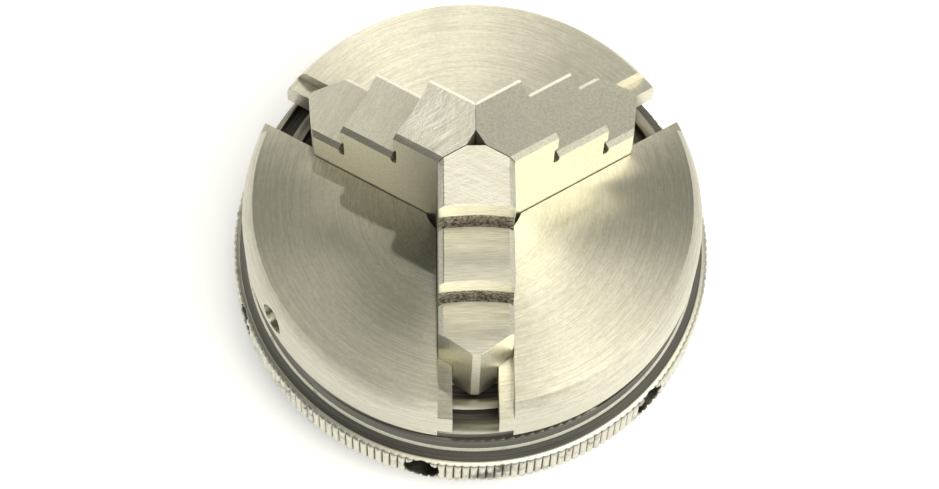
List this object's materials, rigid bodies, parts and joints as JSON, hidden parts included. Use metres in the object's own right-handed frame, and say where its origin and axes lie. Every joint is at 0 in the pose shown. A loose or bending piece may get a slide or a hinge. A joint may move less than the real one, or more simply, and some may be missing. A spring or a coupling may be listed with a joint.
{
  "type": "lathe chuck",
  "caption": "Round self-centring chuck for a small lathe: a bright body with sliding stepped jaws, and a black knurled scroll ring that moves them together.",
  "frame": {"origin": "on the chuck's axis at the back end of the threaded boss, where the chuck stands on a bench", "axes": "+Z along the spindle axis towards the jaws; jaw_1 slides along -Y, jaw_2 at 30 degrees and jaw_3 at 150 degrees from +X"},
  "size_m": [0.0666, 0.0666, 0.0424],
  "materials": {
    "body_steel": "turned, bright",
    "jaw_steel": "ground",
    "black_oxide": "black oxide, knurled, worn",
    "plate_steel": "turned",
    "bronze": "machined",
    "screw_black": "black oxide",
    "pin_steel": "ground"
  },
  "bodies": {
    "chuck": {"chuck_body": "body_steel", "back_plate": "plate_steel", "thrust_washer": "bronze", "plate_screw_1": "screw_black", "plate_screw_2": "screw_black", "plate_screw_3": "screw_black", "dowel_pin_1": "pin_steel", "dowel_pin_2": "pin_steel"},
    "scroll": {"scroll_ring": "black_oxide"},
    "front_jaw": {"jaw_1": "jaw_steel"},
    "right_jaw": {"jaw_2": "jaw_steel"},
    "left_jaw": {"jaw_3": "jaw_steel"}
  },
  "joints": [
    {"name": "scroll_turn", "type": "hinge", "parent": "chuck", "child": "scroll", "pos_m": [0, 0, 0.012], "axis": [0, 0, 1], "range_deg": [0, 1026]},
    {"name": "front_jaw_slide", "type": "slide", "parent": "chuck", "child": "front_jaw", "axis": [0, -1, 0], "range_m": [0, 0.01]},
    {"name": "right_jaw_slide", "type": "slide", "parent": "chuck", "child": "right_jaw", "axis": [0.866, 0.5, 0], "range_m": [0, 0.01]},
    {"name": "left_jaw_slide", "type": "slide", "parent": "chuck", "child": "left_jaw", "axis": [-0.866, 0.5, 0], "range_m": [0, 0.01]}
  ],
  "couplings": [
    {"joint": "front_jaw_slide", "follows": "scroll_turn", "m_per_rad": 0.00055704},
    {"joint": "right_jaw_slide", "follows": "scroll_turn", "m_per_rad": 0.00055704},
    {"joint": "left_jaw_slide", "follows": "scroll_turn", "m_per_rad": 0.00055704}
  ]
}
